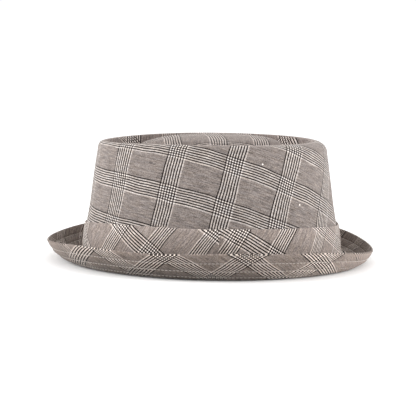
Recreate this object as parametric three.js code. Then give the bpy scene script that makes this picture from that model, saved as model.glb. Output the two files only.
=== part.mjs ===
// A porkpie hat in checked wool cloth, in millimetres with +Z up. The front of the hat looks
// along -Y, the wearer's left is +X, and the lowest ring of the brim rests on z = 0.
//
// Each piece is cloth of even thickness. Its face is a short profile, worked out at every
// bearing round the head, carried round the head's oval and then given its thickness.
import * as THREE from 'three';

// Head opening: from the middle of the head to the inside of the crown cloth
const HEAD = { front: 99.9, side: 82.5, back: 101.4 };
const HEAD_EGG = 0.03; // share by which the oval is wider behind than at the sides

// Thickness of each cloth, and the room left between pieces that are sewn or laid together
const WALL_CLOTH = 2;
const TIP_CLOTH = 2;
const BRIM_CLOTH = 3; // two plies and the interlining between them
const BAND_CLOTH = 1.3;
const SWEATBAND_CLOTH = 1.2;
const CLEARANCE = 0.3;

// Seat of the crown: height of the brim's lower face under the wall. The ends dip.
const SEAT_HEIGHT = { front: 1.1, side: 7.2, back: 2.5 };
const DIP_POWER = 5.3; // how close to the ends the dip starts: 2 is an even saddle

// Crown: height of the lip, how far the wall leans in, and the roll of the lip
const LIP_HEIGHT = { front: 94.3, side: 96.9, back: 96.3 };
const WALL_LEAN = { front: 10.9, side: 7.9, back: 10.9 };
const LIP_ROLL_IN = { front: 4.3, side: 3.7, back: 10.8 };
const LIP_ROLL_UP = { front: 6, side: 4, back: 8.8 };

// Tip: the telescope crease runs inside the lip, round the teardrop dome
const CREASE_DEPTH = 17; // below the lip at the sides
const CREASE_INSET = { front: 12, side: 11, back: 12 };
const DOME_RISE = 3.5; // above the lip at the sides
const DOME_SET_BACK = 8; // the dome is highest behind the middle of the head

// Brim: out from the foot of the wall to its resting ring and to its edge, and the edge's height
const BRIM_REST_OUT = { front: 9, side: 13, back: 14 };
const BRIM_REST_WIDTH = 3; // the cloth lies flat on this much of it
const BRIM_EDGE_OUT = { front: 29.4, side: 30.2, back: 27.4 };
const BRIM_EDGE_HEIGHT = { front: 14.9, side: 20.4, back: 10.7 };

// Bands
const BAND_HEIGHT = 24.6;
const BAND_LAP = 15; // length of the lap where the band's end covers its beginning
const BAND_LAP_OFFSET = 13.7; // from the wearer's left towards the back, to the lap's edge
const SWEATBAND_HEIGHT = 34;

// Steps round the head and over the roll of the lip
const BEARINGS = 60;
const ROLL_STEPS = 5;
const LAP_STEP = 0.004; // turn between the top and the foot of the lap's edge, in radians

// Rows up the wall: share of its height, share of its lean
const WALL_ROWS = [
  { up: 0.00, lean: 0.00 },
  { up: 0.08, lean: 0.01 },
  { up: 0.16, lean: 0.05 },
  { up: 0.30, lean: 0.20 },
  { up: 0.48, lean: 0.44 },
  { up: 0.72, lean: 0.68 },
  { up: 1.00, lean: 1.00 },
];

// Rows up either band: share of its height
const BAND_ROWS = [0, 0.35, 0.7, 1];

// Rows from the brim's seat under the wall down to its resting ring: share out, share down
const BRIM_FALL_ROWS = [
  { out: 0.00, down: 0.00 },
  { out: 0.20, down: 0.12 },
  { out: 0.50, down: 0.54 },
  { out: 0.80, down: 0.88 },
  { out: 1.00, down: 1.00 },
];

// Rows from the resting ring to the turned-up edge: share out, share up
const BRIM_RISE_ROWS = [
  { out: 0.00, up: 0.00 },
  { out: 0.22, up: 0.04 },
  { out: 0.43, up: 0.16 },
  { out: 0.62, up: 0.33 },
  { out: 0.79, up: 0.56 },
  { out: 0.91, up: 0.78 },
  { out: 1.00, up: 1.00 },
];

// Rows from the crest of the lip down to the bottom of the crease: share in, share down
const CREASE_ROWS = [
  { in: 0.00, down: 0.00 },
  { in: 0.16, down: 0.02 },
  { in: 0.34, down: 0.16 },
  { in: 0.50, down: 0.42 },
  { in: 0.66, down: 0.71 },
  { in: 0.83, down: 0.93 },
  { in: 1.00, down: 1.00 },
];

// Rows from the crease to the top of the dome: share of the rise, and share of the way in
// at the front, the sides and the back. The front is a long slope and the back a short one.
const DOME_ROWS = [
  { up: 0.100, front: 0.06, side: 0.06, back: 0.055 },
  { up: 0.360, front: 0.14, side: 0.14, back: 0.12 },
  { up: 0.600, front: 0.22, side: 0.22, back: 0.19 },
  { up: 0.790, front: 0.35, side: 0.32, back: 0.29 },
  { up: 0.900, front: 0.50, side: 0.46, back: 0.42 },
  { up: 0.965, front: 0.68, side: 0.66, back: 0.62 },
  { up: 0.995, front: 0.86, side: 0.85, back: 0.83 },
];

// A size that differs at the front, the sides and the back, at a bearing round the head
function around(size, bearing, power = 2) {
  const end = Math.sin(bearing);
  const share = Math.abs(end) ** power;
  return size.side * (1 - share) + (end < 0 ? size.front : size.back) * share;
}

// Foot of the wall's outer face at a bearing, and the direction that leads out from it
function footOf(bearing) {
  const [c, s] = [Math.cos(bearing), Math.sin(bearing)];
  const side = HEAD.side + WALL_CLOTH;
  const middle = (HEAD.front + HEAD.back) / 2 + WALL_CLOTH;
  const skew = (HEAD.back - HEAD.front) / 2;
  const point = new THREE.Vector2(side * c * (1 + HEAD_EGG * s), middle * s + skew * s * s);
  const alongX = side * (HEAD_EGG * c * c - s * (1 + HEAD_EGG * s));
  const alongY = (middle + 2 * skew * s) * c;
  return { point, out: new THREE.Vector2(alongY, -alongX).normalize() };
}

const seatHeight = (bearing) => around(SEAT_HEIGHT, bearing, DIP_POWER);

// Directions in a profile, as (out, up)
const OUTWARD = new THREE.Vector2(1, 0);
const INWARD = new THREE.Vector2(-1, 0);
const UPWARD = new THREE.Vector2(0, 1);

// The other face of a cloth: each point of a profile moved to its left by the thickness.
// The first and the last edge are square to the directions given for them.
function otherFace(profile, thickness, startDirection, endDirection) {
  const last = profile.length - 1;
  return profile.map((point, i) => {
    const along = profile[Math.min(i + 1, last)].clone().sub(profile[Math.max(i - 1, 0)]);
    if (i === 0) along.copy(startDirection);
    if (i === last) along.copy(endDirection);
    along.normalize();
    return new THREE.Vector2(point.x - along.y * thickness, point.y + along.x * thickness);
  });
}

// A closed body from a list of rings of points and the triangles between them
function bodyFrom(points, triangles) {
  const geometry = new THREE.BufferGeometry();
  const numbers = points.flatMap((p) => p.toArray());
  geometry.setAttribute('position', new THREE.Float32BufferAttribute(numbers, 3));
  geometry.setIndex(triangles);
  geometry.computeVertexNormals();
  return geometry;
}

// Two triangles for each square of a grid, whose rings close on themselves
function bridge(triangles, ringA, ringB, count) {
  for (let i = 0; i < count; i += 1) {
    const next = (i + 1) % count;
    triangles.push(ringA + i, ringB + i, ringB + next);
    triangles.push(ringA + i, ringB + next, ringA + next);
  }
}

// Carries a closed loop of (out, up) points round the head. Seen with out to the right and
// up above, the loop turns clockwise.
function sweepRound(bearings, loopAt) {
  const loops = bearings.map((bearing) => {
    const { point, out } = footOf(bearing);
    return loopAt(bearing).map(
      (p) => new THREE.Vector3(point.x + out.x * p.x, point.y + out.y * p.x, p.y),
    );
  });
  const size = loops[0].length;
  const triangles = [];
  loops.forEach((_, i) => bridge(triangles, ((i + 1) % loops.length) * size, i * size, size));
  return bodyFrom(loops.flat(), triangles);
}

const evenBearings = Array.from({ length: BEARINGS }, (_, i) => (2 * Math.PI * i) / BEARINGS);

// Outer face of the wall: how far out it stands at a height above its own bottom edge
function wallOut(bearing, height) {
  const share = THREE.MathUtils.clamp(height / wallHeight(bearing), 0, 1);
  const i = Math.max(1, WALL_ROWS.findIndex((row) => row.up >= share));
  const [low, high] = [WALL_ROWS[i - 1], WALL_ROWS[i]];
  const lean = THREE.MathUtils.mapLinear(share, low.up, high.up, low.lean, high.lean);
  return -around(WALL_LEAN, bearing) * lean;
}

const wallBottom = (bearing) => seatHeight(bearing) + BRIM_CLOTH + CLEARANCE;

// Height of the wall from its bottom edge to where the lip starts to roll
function wallHeight(bearing) {
  return around(LIP_HEIGHT, bearing) - around(LIP_ROLL_UP, bearing) - wallBottom(bearing);
}

// Crown wall: up from the foot, leaning in, and rolled over into the lip
function crownWall() {
  return sweepRound(evenBearings, (bearing) => {
    const lean = around(WALL_LEAN, bearing);
    const [rollIn, rollUp] = [around(LIP_ROLL_IN, bearing), around(LIP_ROLL_UP, bearing)];
    const height = wallHeight(bearing);
    const face = WALL_ROWS.map(
      (row) => new THREE.Vector2(-lean * row.lean, wallBottom(bearing) + height * row.up),
    );
    const shoulder = face[face.length - 1];
    for (let i = 1; i <= ROLL_STEPS; i += 1) {
      const turn = (Math.PI / 2) * (i / ROLL_STEPS);
      face.push(new THREE.Vector2(
        shoulder.x - rollIn * (1 - Math.cos(turn)),
        shoulder.y + rollUp * Math.sin(turn),
      ));
    }
    const inside = otherFace(face, WALL_CLOTH, UPWARD, INWARD);
    return [...inside, ...face.reverse()];
  });
}

// Crown tip: from the crest of the lip down into the crease and up over the dome
function crownTip() {
  const top = new THREE.Vector3(0, DOME_SET_BACK, LIP_HEIGHT.side + DOME_RISE);
  const creaseHeight = LIP_HEIGHT.side - CREASE_DEPTH;
  const fall = CREASE_ROWS.map((row) => evenBearings.map((bearing) => {
    const { point, out } = footOf(bearing);
    const crest = around(WALL_LEAN, bearing) + around(LIP_ROLL_IN, bearing) + CLEARANCE;
    const inward = crest + around(CREASE_INSET, bearing) * row.in;
    return new THREE.Vector3(
      point.x - out.x * inward,
      point.y - out.y * inward,
      THREE.MathUtils.lerp(around(LIP_HEIGHT, bearing), creaseHeight, row.down),
    );
  }));
  const creaseLine = fall[fall.length - 1];
  const dome = DOME_ROWS.map((row) => evenBearings.map((bearing, i) => {
    const p = creaseLine[i].clone().lerp(top, around(row, bearing));
    return p.setZ(THREE.MathUtils.lerp(creaseHeight, top.z, row.up));
  }));
  return capOf([...fall, ...dome], top, TIP_CLOTH);
}

// A cap of cloth from its rings, rim first, and the point at its top
function capOf(rings, top, thickness) {
  const count = rings[0].length;
  const below = rings.map((ring, r) => ring.map((p, i) => {
    const down = new THREE.Vector3(0, 0, -1);
    if (r > 0) {
      const inward = (rings[r + 1]?.[i] ?? top).clone().sub(rings[r - 1][i]);
      const onward = ring[(i + 1) % count].clone().sub(ring[(i + count - 1) % count]);
      down.crossVectors(inward, onward).normalize();
    }
    return p.clone().addScaledVector(down, thickness);
  }));
  const points = [...rings.flat(), top, ...below.flat(), top.clone().setZ(top.z - thickness)];
  const topIndex = rings.length * count;
  const offset = topIndex + 1;
  const triangles = [];
  const last = (rings.length - 1) * count;
  for (let r = 0; r < last; r += count) {
    bridge(triangles, r + count, r, count);
    bridge(triangles, offset + r, offset + r + count, count);
  }
  bridge(triangles, 0, offset, count);
  for (let i = 0; i < count; i += 1) {
    const next = (i + 1) % count;
    triangles.push(last + i, last + next, topIndex);
    triangles.push(offset + last + next, offset + last + i, offset + topIndex);
  }
  return bodyFrom(points, triangles);
}

// Brim: level under the wall and the band, down to the resting ring, then turned up
function brim() {
  const seatOut = CLEARANCE + BAND_CLOTH;
  return sweepRound(evenBearings, (bearing) => {
    const seat = seatHeight(bearing);
    const rest = around(BRIM_REST_OUT, bearing);
    const [restIn, restOut] = [rest - BRIM_REST_WIDTH / 2, rest + BRIM_REST_WIDTH / 2];
    const edgeOut = around(BRIM_EDGE_OUT, bearing);
    const edgeFold = BRIM_CLOTH / 2;
    const edgeUp = around(BRIM_EDGE_HEIGHT, bearing, DIP_POWER) - edgeFold;
    const face = [
      new THREE.Vector2(-WALL_CLOTH, seat),
      ...BRIM_FALL_ROWS.map((row) => new THREE.Vector2(
        THREE.MathUtils.lerp(seatOut, restIn, row.out),
        seat * (1 - row.down),
      )),
      ...BRIM_RISE_ROWS.map((row) => new THREE.Vector2(
        THREE.MathUtils.lerp(restOut, edgeOut, row.out),
        edgeUp * row.up,
      )),
    ];
    const away = face[face.length - 1].clone().sub(face[face.length - 2]).normalize();
    const upper = otherFace(face, BRIM_CLOTH, OUTWARD, away);
    const [edgeA, edgeB] = [face[face.length - 1], upper[upper.length - 1]];
    const fold = edgeA.clone().lerp(edgeB, 0.5).addScaledVector(away, edgeFold);
    return [...upper, fold, ...face.reverse()];
  });
}

// A band that follows the wall on one side of its cloth, with square edges
function bandLoop(bearing, bottom, height, inset, thickness) {
  const inside = BAND_ROWS.map((row) => {
    const z = bottom + height * row;
    const out = wallOut(bearing, z - wallBottom(bearing)) + inset;
    return new THREE.Vector2(out, z);
  });
  const outside = inside.map((p) => new THREE.Vector2(p.x + thickness, p.y));
  return [...inside, ...outside.reverse()];
}

// Hat band: its front end laps over its back end on the wearer's left
function hatBand() {
  const lapEdge = BAND_LAP_OFFSET / (HEAD.back + WALL_CLOTH);
  const lapStart = lapEdge - BAND_LAP / (HEAD.front + WALL_CLOTH);
  const bearings = [...evenBearings, lapEdge, lapEdge + LAP_STEP].sort((a, b) => a - b);
  return sweepRound(bearings, (bearing) => {
    const turned = bearing > Math.PI ? bearing - 2 * Math.PI : bearing;
    const rise = THREE.MathUtils.smoothstep(turned, lapStart - BAND_LAP / HEAD.side, lapStart);
    const lap = turned > lapEdge ? 0 : rise * BAND_CLOTH;
    const bottom = wallBottom(bearing);
    return bandLoop(bearing, bottom, BAND_HEIGHT, CLEARANCE, BAND_CLOTH + lap);
  });
}

// Sweatband: inside the wall, from the lower face of the brim upwards
function sweatband() {
  return sweepRound(evenBearings, (bearing) => {
    const inset = -WALL_CLOTH - CLEARANCE - SWEATBAND_CLOTH;
    const bottom = seatHeight(bearing);
    return bandLoop(bearing, bottom, SWEATBAND_HEIGHT, inset, SWEATBAND_CLOTH);
  });
}

// Cloth colours
const CHECKED_WOOL = '#968e8a';
const SHADED_WOOL = '#8d8682';
const CHARCOAL_TWILL = '#3d3733';

function piece(name, geometry, color, roughness) {
  const material = new THREE.MeshStandardMaterial({ color, roughness, metalness: 0 });
  const mesh = new THREE.Mesh(geometry, material);
  mesh.name = name;
  return mesh;
}

const hat = new THREE.Group();
hat.name = 'porkpie_hat';
hat.add(
  piece('crown_wall', crownWall(), CHECKED_WOOL, 0.9),
  piece('crown_tip', crownTip(), CHECKED_WOOL, 0.9),
  piece('brim', brim(), CHECKED_WOOL, 0.9),
  piece('hat_band', hatBand(), SHADED_WOOL, 0.9),
  piece('sweatband', sweatband(), CHARCOAL_TWILL, 0.65),
);

export default hat;
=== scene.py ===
# %% [markdown]
# # A porkpie hat in checked wool
# The hat is five pieces of cloth: an upright crown wall, a crown tip with a telescope crease
# and a teardrop dome, a turned-up brim of two plies, a bias band round the foot of the crown,
# and a sweatband inside. Every piece here is a surface worked out with numpy on a grid of
# bearings (round the head) and rows (along a profile), so the sewn seams meet exactly and the
# woven check can be laid on each piece as it was cut. Lengths below are millimetres, and each
# mesh is scaled to metres when it is made. +Z is up, the front of the hat is -Y, and the
# wearer's left is +X. A bearing of 0 is the wearer's left, 90 degrees the back, -90 the front.

import math

import bpy
import numpy as np
from mathutils import Matrix, Vector


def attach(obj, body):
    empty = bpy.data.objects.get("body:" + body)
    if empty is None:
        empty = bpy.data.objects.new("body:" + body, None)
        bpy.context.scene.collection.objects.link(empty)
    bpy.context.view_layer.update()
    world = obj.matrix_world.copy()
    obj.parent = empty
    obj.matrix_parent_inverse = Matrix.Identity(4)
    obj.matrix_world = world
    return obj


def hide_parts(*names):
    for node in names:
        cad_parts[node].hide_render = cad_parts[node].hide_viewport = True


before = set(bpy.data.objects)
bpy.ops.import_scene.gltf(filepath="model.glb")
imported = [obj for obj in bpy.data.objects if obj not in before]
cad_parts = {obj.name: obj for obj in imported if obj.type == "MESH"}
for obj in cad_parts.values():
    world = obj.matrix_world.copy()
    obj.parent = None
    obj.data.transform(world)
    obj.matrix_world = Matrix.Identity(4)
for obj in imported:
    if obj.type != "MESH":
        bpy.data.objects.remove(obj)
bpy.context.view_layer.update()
MM = 0.001

# %% [markdown]
# The camera stands low on the wearer's left, almost square to the hat. Its place was found by
# fitting the hat's outline to the view: a long lens a little over a metre away, turned a few
# degrees towards the back, looking down by 7 degrees, and tilted by less than one.

# %% Camera
CAMERA_AZIMUTH, CAMERA_ELEVATION, CAMERA_ROLL = np.radians([4.471, 7.057, 0.712])
CAMERA_TARGET = np.array([0.0, -2.019, 40.638])
CAMERA_DISTANCE = 1052.9
LENS, SENSOR = 113.05, 36.0


def camera_axes(azimuth, elevation, roll):
    """Right, up and back of a camera that looks at its target: back leans up by the elevation,
    right is level, and the roll turns right and up about back."""
    back = np.array([math.cos(azimuth) * math.cos(elevation),
                     math.sin(azimuth) * math.cos(elevation), math.sin(elevation)])
    right = np.array([-math.sin(azimuth), math.cos(azimuth), 0.0])
    up = np.cross(back, right)
    return (right * math.cos(roll) + up * math.sin(roll),
            up * math.cos(roll) - right * math.sin(roll), back)


right, up, back = camera_axes(CAMERA_AZIMUTH, CAMERA_ELEVATION, CAMERA_ROLL)
camera = bpy.data.objects.new("camera", bpy.data.cameras.new("camera"))
bpy.context.scene.collection.objects.link(camera)
camera.matrix_world = Matrix.Translation(Vector((CAMERA_TARGET + back * CAMERA_DISTANCE) * MM)) @ (
    Matrix((right, up, back)).transposed().to_4x4())
camera.data.lens, camera.data.sensor_width = LENS, SENSOR
camera.data.clip_start, camera.data.clip_end = 0.05, 20.0
bpy.context.scene.camera = camera
print("camera at", [round(x, 3) for x in camera.location], "m")

# %% [markdown]
# The hat's sizes are those of the solid model. A size that differs at the front, the sides and
# the back of the head is written as three numbers, and the helper `around` runs smoothly from
# one to the other. Profiles are short tables of shares, joined by a smooth curve.

# %% Sizes of the hat, in millimetres
HEAD = (99.9, 82.5, 101.4)  # front, side, back, to the inside of the wall
HEAD_EGG = 0.03
WALL_CLOTH, TIP_CLOTH, BRIM_CLOTH, BAND_CLOTH, SWEATBAND_CLOTH = 2.0, 2.0, 3.0, 1.3, 1.2
CLEARANCE = 0.3
SEAT_HEIGHT, DIP_POWER = (1.1, 7.2, 2.5), 5.3
LIP_HEIGHT, WALL_LEAN = (94.3, 96.9, 96.3), (10.9, 7.9, 10.9)
LIP_ROLL_IN, LIP_ROLL_UP = (4.3, 3.7, 10.8), (6.0, 4.0, 8.8)
CREASE_DEPTH, CREASE_INSET = 17.0, (12.0, 11.0, 12.0)
DOME_RISE, DOME_SET_BACK = 3.5, 8.0
BRIM_REST_OUT, BRIM_REST_WIDTH = (9.0, 13.0, 14.0), 3.0
BRIM_EDGE_OUT, BRIM_EDGE_HEIGHT = (29.4, 30.2, 27.4), (14.9, 20.4, 10.7)
BAND_HEIGHT, BAND_LAP, BAND_LAP_OFFSET = 24.6, 15.0, 13.7
SWEATBAND_HEIGHT = 34.0
front_to_back = HEAD[0] + HEAD[2] + 2 * WALL_CLOTH + BRIM_EDGE_OUT[0] + BRIM_EDGE_OUT[2]
print("front to back:", round(front_to_back, 1), "mm")

# %% [markdown]
# A profile is the line that would show if the hat were cut from its middle outwards. Each is a
# short table of shares between 0 and 1, so it keeps its character when a size changes.

# %% Profiles as shares
# share of the height, share of the lean
WALL_PROFILE = np.array([(0, 0), (.08, .01), (.16, .05), (.30, .20), (.48, .44), (.72, .68), (1, 1)])
# share out, share down, from the seat under the wall to the resting ring
BRIM_FALL = np.array([(0, 0), (.20, .12), (.50, .54), (.80, .88), (1, 1)])
# share out, share up, from the resting ring to the turned-up edge
BRIM_RISE = np.array([(0, 0), (.22, .04), (.43, .16), (.62, .33), (.79, .56), (.91, .78), (1, 1)])
# share in, share down, from the crest of the lip to the bottom of the crease
CREASE_FALL = np.array([(0, 0), (.16, .02), (.34, .16), (.50, .42), (.66, .71), (.83, .93), (1, 1)])
# share of the dome's rise, and share of the way in at the front, the side and the back
DOME_RISE_ROWS = np.array([(0, 0, 0, 0), (.10, .06, .06, .055), (.36, .14, .14, .12),
                           (.60, .22, .22, .19), (.79, .35, .32, .29), (.90, .50, .46, .42),
                           (.965, .68, .66, .62), (.995, .86, .85, .83), (1, 1, 1, 1)])
print("points in the profiles:", [len(table) for table in (WALL_PROFILE, BRIM_FALL, BRIM_RISE,
                                                          CREASE_FALL, DOME_RISE_ROWS)])

# %% [markdown]
# Three helpers turn these numbers into smooth shapes: `around` gives a size at any bearing,
# `smooth_curve` runs a soft line through a table, and `smooth_step` fades one thing into another.
# They could be bezier curves drawn by hand, but a formula holds at every bearing at once.

# %% Smooth changes from one number to another
def around(size, bearing, power=2.0):
    """side * (1 - |sin|^power) + (front or back) * |sin|^power of the bearing."""
    front, side, rear = size
    end = np.sin(bearing)
    share = np.abs(end) ** power
    return side * (1 - share) + np.where(end < 0, front, rear) * share


def smooth_curve(x, table_x, table_y):
    """Hermite curve through the table's points; the slope at a point is the harmonic mean of the
    slopes on its two sides, so the curve never overshoots."""
    table_x, table_y = np.asarray(table_x, float), np.asarray(table_y, float)
    step = np.diff(table_x)
    slope = np.diff(table_y) / step
    tangent = np.concatenate([slope[:1], np.zeros(len(slope) - 1), slope[-1:]])
    both = slope[:-1] * slope[1:] > 0
    tangent[1:-1][both] = 2 * (slope[:-1] * slope[1:])[both] / (slope[:-1] + slope[1:])[both]
    i = np.clip(np.searchsorted(table_x, x) - 1, 0, len(step) - 1)
    t = (np.clip(x, table_x[0], table_x[-1]) - table_x[i]) / step[i]
    return (table_y[i] * (1 + 2 * t) * (1 - t) ** 2 + tangent[i] * step[i] * t * (1 - t) ** 2
            + table_y[i + 1] * t * t * (3 - 2 * t) + tangent[i + 1] * step[i] * t * t * (t - 1))


def smooth_step(x, low, high):
    """0 below low, 1 above high, and 3t^2 - 2t^3 between them."""
    t = np.clip((x - low) / (high - low), 0, 1)
    return t * t * (3 - 2 * t)


some_bearings = np.radians([-90, -45, 0, 45, 90])
print("lip, front to side to back:", np.round(around(LIP_HEIGHT, some_bearings), 1), "mm high")

# %% [markdown]
# Everything stands on one oval, the outline of the head. It is a little egg-shaped, wider at the
# back than at the front. The brim's seat, the wall's foot and the wall's lean are all functions
# of the bearing on that oval, so a change of the head size moves every piece with it.

# %% The head's oval and the wall over it
def head_oval(bearing):
    """Foot of the wall's outer face and the direction out from it. The oval is
    x = side * cos * (1 + egg * sin), y = middle * sin + skew * sin^2."""
    c, s = np.cos(bearing), np.sin(bearing)
    side, middle = HEAD[1] + WALL_CLOTH, (HEAD[0] + HEAD[2]) / 2 + WALL_CLOTH
    skew = (HEAD[2] - HEAD[0]) / 2
    along_x = side * (HEAD_EGG * c * c - s * (1 + HEAD_EGG * s))
    along_y = (middle + 2 * skew * s) * c
    length = np.hypot(along_x, along_y)
    return (np.stack([side * c * (1 + HEAD_EGG * s), middle * s + skew * s * s], -1),
            np.stack([along_y / length, -along_x / length], -1))


def seat_height(bearing):
    """Height of the brim's lower face under the wall: level at the sides, dipping at the ends."""
    return around(SEAT_HEIGHT, bearing, DIP_POWER)


def wall_bottom(bearing):
    """Bottom edge of the wall: it stands on the brim's upper face."""
    return seat_height(bearing) + BRIM_CLOTH + CLEARANCE


def wall_height(bearing):
    """Height of the wall from its bottom edge to where the lip starts to roll over."""
    return around(LIP_HEIGHT, bearing) - around(LIP_ROLL_UP, bearing) - wall_bottom(bearing)


def wall_out(bearing, height):
    """How far the wall's outer face stands out at a height over its bottom edge (it leans in)."""
    share = np.clip(height / wall_height(bearing), 0, 1)
    return -around(WALL_LEAN, bearing) * smooth_curve(share, *WALL_PROFILE.T)


print("wall:", round(float(wall_height(0.0)), 1), "mm high at the side")

# %% [markdown]
# Each piece is a closed shell, because real cloth has two faces. `shell_mesh` takes the rows of
# points that run round the head and joins them with squares. It also lays the flat cloth on
# the piece: every corner of every square gets the place in the flat cloth where it was cut.
# A whole grid goes into Blender in a few `foreach_set` calls, which is far quicker than adding
# faces one by one.

# %% Squares of a grid
def grid_faces(rows, columns, close_rows):
    """Corner numbers of the squares between neighbouring rows, closed round the columns, and the
    same corners in the flat cloth, which has one column more because it is open at its seam."""
    r = np.arange(rows if close_rows else rows - 1)[:, None]
    c = np.arange(columns)[None, :]
    above, onward = (r + 1) % rows, (c + 1) % columns
    solid = np.stack([r * columns + c, r * columns + onward, above * columns + onward,
                      above * columns + c], -1).reshape(-1, 4)
    wide = columns + 1
    flat = np.stack([r * wide + c, r * wide + c + 1, above * wide + c + 1, above * wide + c],
                    -1).reshape(-1, 4)
    return solid, flat


print("squares of a tube of 3 rows by 4 columns:", len(grid_faces(3, 4, False)[0]))

# %% [markdown]
# A mesh is a list of points, a list of the corners of all faces one after the other, and for each
# face where its corners start and how many there are. The flat places go into a UV map called
# "cloth", in metres, so that the material knows where each bit of the hat lay in the cloth.

# %% Arrays into a mesh
def mesh_object(name, points, loops, sizes, flat):
    """An object from points in mm, all the faces' corners in one list, the number of corners of
    each face, and the flat-cloth place of each corner in mm."""
    mesh = bpy.data.meshes.new(name)
    mesh.vertices.add(len(points))
    mesh.vertices.foreach_set("co", (points * MM).astype(np.float32).ravel())
    mesh.loops.add(len(loops))
    mesh.loops.foreach_set("vertex_index", loops.astype(np.int32))
    mesh.polygons.add(len(sizes))
    starts = np.concatenate([[0], np.cumsum(sizes)[:-1]])
    mesh.polygons.foreach_set("loop_start", starts.astype(np.int32))
    mesh.polygons.foreach_set("loop_total", sizes.astype(np.int32))
    mesh.polygons.foreach_set("use_smooth", np.ones(len(sizes), bool))
    if flat is not None:
        layer = mesh.uv_layers.new(name="cloth")
        layer.data.foreach_set("uv", (flat * MM).astype(np.float32).ravel())
    mesh.update(calc_edges=True)
    mesh.validate()
    piece = bpy.data.objects.new(name, mesh)
    bpy.context.scene.collection.objects.link(piece)
    return piece


def shell_mesh(name, rows, flat_rows, close_rows=True, pole_ends=False):
    """A shell from rows of points (rows x bearings x 3) and its flat places (rows x bearings + 1
    x 2). Rows that don't close on themselves end in a point at either end, the row's middle."""
    count_r, count_c = rows.shape[:2]
    corners, flat_corners = grid_faces(count_r, count_c, close_rows)
    points, flat = rows.reshape(-1, 3), flat_rows.reshape(-1, 2)
    loops, sizes = [corners.ravel()], [np.full(len(corners), 4)]
    flat_loops = [flat[flat_corners.ravel()]]
    if pole_ends:
        c = np.arange(count_c)
        onward = (c + 1) % count_c
        for row, turn in ((0, False), (count_r - 1, True)):
            pole = len(points)
            points = np.vstack([points, rows[row].mean(0)])
            edge = [row * count_c + onward, row * count_c + c] if not turn else (
                [row * count_c + c, row * count_c + onward])
            loops.append(np.stack([*edge, np.full(count_c, pole)], -1).ravel())
            sizes.append(np.full(count_c, 3))
            first, second = (c + 1, c) if not turn else (c, c + 1)
            middle = np.broadcast_to(flat_rows[row][:-1].mean(0), (count_c, 2))
            flat_loops.append(np.stack([flat_rows[row][first], flat_rows[row][second], middle],
                                       1).reshape(-1, 2))
    return mesh_object(name, points, np.concatenate(loops), np.concatenate(sizes),
                       np.vstack(flat_loops))


print("meshes that came with the packed model:", len(bpy.data.meshes))

# %% [markdown]
# A shell whose faces look outwards has a positive volume, so `report` prints it for every piece:
# a mesh that is inside out is shaded wrongly. The area of a face tells how much cloth is in it.

# %% Measures of a grid and a mesh
def face_normals(rows):
    """Unit normals of a grid of rows that close round the head: the cross product of the steps
    round and along."""
    onward = np.roll(rows, -1, 1) - np.roll(rows, 1, 1)
    along = np.gradient(rows, axis=0)
    normal = np.cross(onward, along)
    return normal / np.linalg.norm(normal, axis=-1, keepdims=True)


def signed_volume(piece):
    """Volume that the faces enclose in cubic centimetres; positive if they point outwards."""
    mesh = piece.data
    mesh.calc_loop_triangles()
    corner = np.empty(len(mesh.loop_triangles) * 3, np.int32)
    mesh.loop_triangles.foreach_get("vertices", corner)
    points = np.empty(len(mesh.vertices) * 3)
    mesh.vertices.foreach_get("co", points)
    a, b, c = points.reshape(-1, 3)[corner.reshape(-1, 3)].transpose(1, 0, 2)
    return float(np.einsum("ij,ij->i", a, np.cross(b, c)).sum() / 6 * 1e6)


def report(piece):
    """Prints how many faces a piece has and its volume."""
    print(f"{piece.name}: {len(piece.data.polygons)} faces, {signed_volume(piece):.1f} cm3")


def face_area(rows):
    """Area in square metres of a grid of points in mm: half the cross product of each square's
    diagonals."""
    first, second = rows[1:, 1:] - rows[:-1, :-1], rows[1:, :-1] - rows[:-1, 1:]
    return float(np.linalg.norm(np.cross(first, second), axis=-1).sum() / 2 * MM ** 2)


SQUARE = np.array([[(0, 0, 0), (1000, 0, 0)], [(0, 1000, 0), (1000, 1000, 0)]], float)
print("a square of a metre has", face_area(SQUARE), "m2")

# %% [markdown]
# The meshes carry named numbers on their points, which the material reads later. One of them is
# painted light and shade: it scales the colour, lighter where a highlight falls on a crest or an
# edge, and darker where shade falls. Another weakens the check where the cloth is rubbed. Most of
# them are bell curves round a bearing.

# %% Numbers on the points
def set_points(piece, name, shares, rest):
    """One named number for each point of a piece. Points after the last share get the rest."""
    values = np.full(len(piece.data.vertices), rest, np.float32)
    values[:shares.size] = shares.ravel()
    layer = piece.data.attributes.new(name, "FLOAT", "POINT")
    layer.data.foreach_set("value", values)


def paint_light(piece, shares):
    """How light the cloth is painted at each point beside the cloth as it was woven, which is 1:
    painted light and shade, lighter where highlights fall on crests and edges, darker where shade
    falls."""
    set_points(piece, "fading", shares, 1.0)


def near_bearing(bearing, centre, width):
    """exp(-(turn / width)^2) with the turn from a centre bearing, all in degrees."""
    turn = (np.degrees(bearing) - centre + 180) % 360 - 180
    return np.exp(-(turn / width) ** 2)


def near_bearings(bearing, table):
    """Sum of share * bell curve over a table of (share, centre, width)."""
    return sum(share * near_bearing(bearing, centre, width) for share, centre, width in table)


print("bell curve at its width:", round(float(near_bearing(math.radians(50), 30, 20)), 3))

# %% [markdown]
# All grids that close round the head share the same columns, one at each of 600 bearings, so
# neighbouring pieces meet point by point. The first column lies at the back seam.

# %% Columns round the head
BEARINGS = 600
bearings = np.linspace(-1.5 * np.pi, 0.5 * np.pi, BEARINGS + 1)  # from the back seam round to it
ring = bearings[:-1]
oval, outward = head_oval(ring)
print("columns round the head:", BEARINGS)


def swept(out, up):
    """Points of a profile (rows x bearings, out and up) carried round the head's oval."""
    return np.stack([oval[:, 0] + outward[:, 0] * out, oval[:, 1] + outward[:, 1] * out,
                     up + np.zeros_like(out)], -1)


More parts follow.
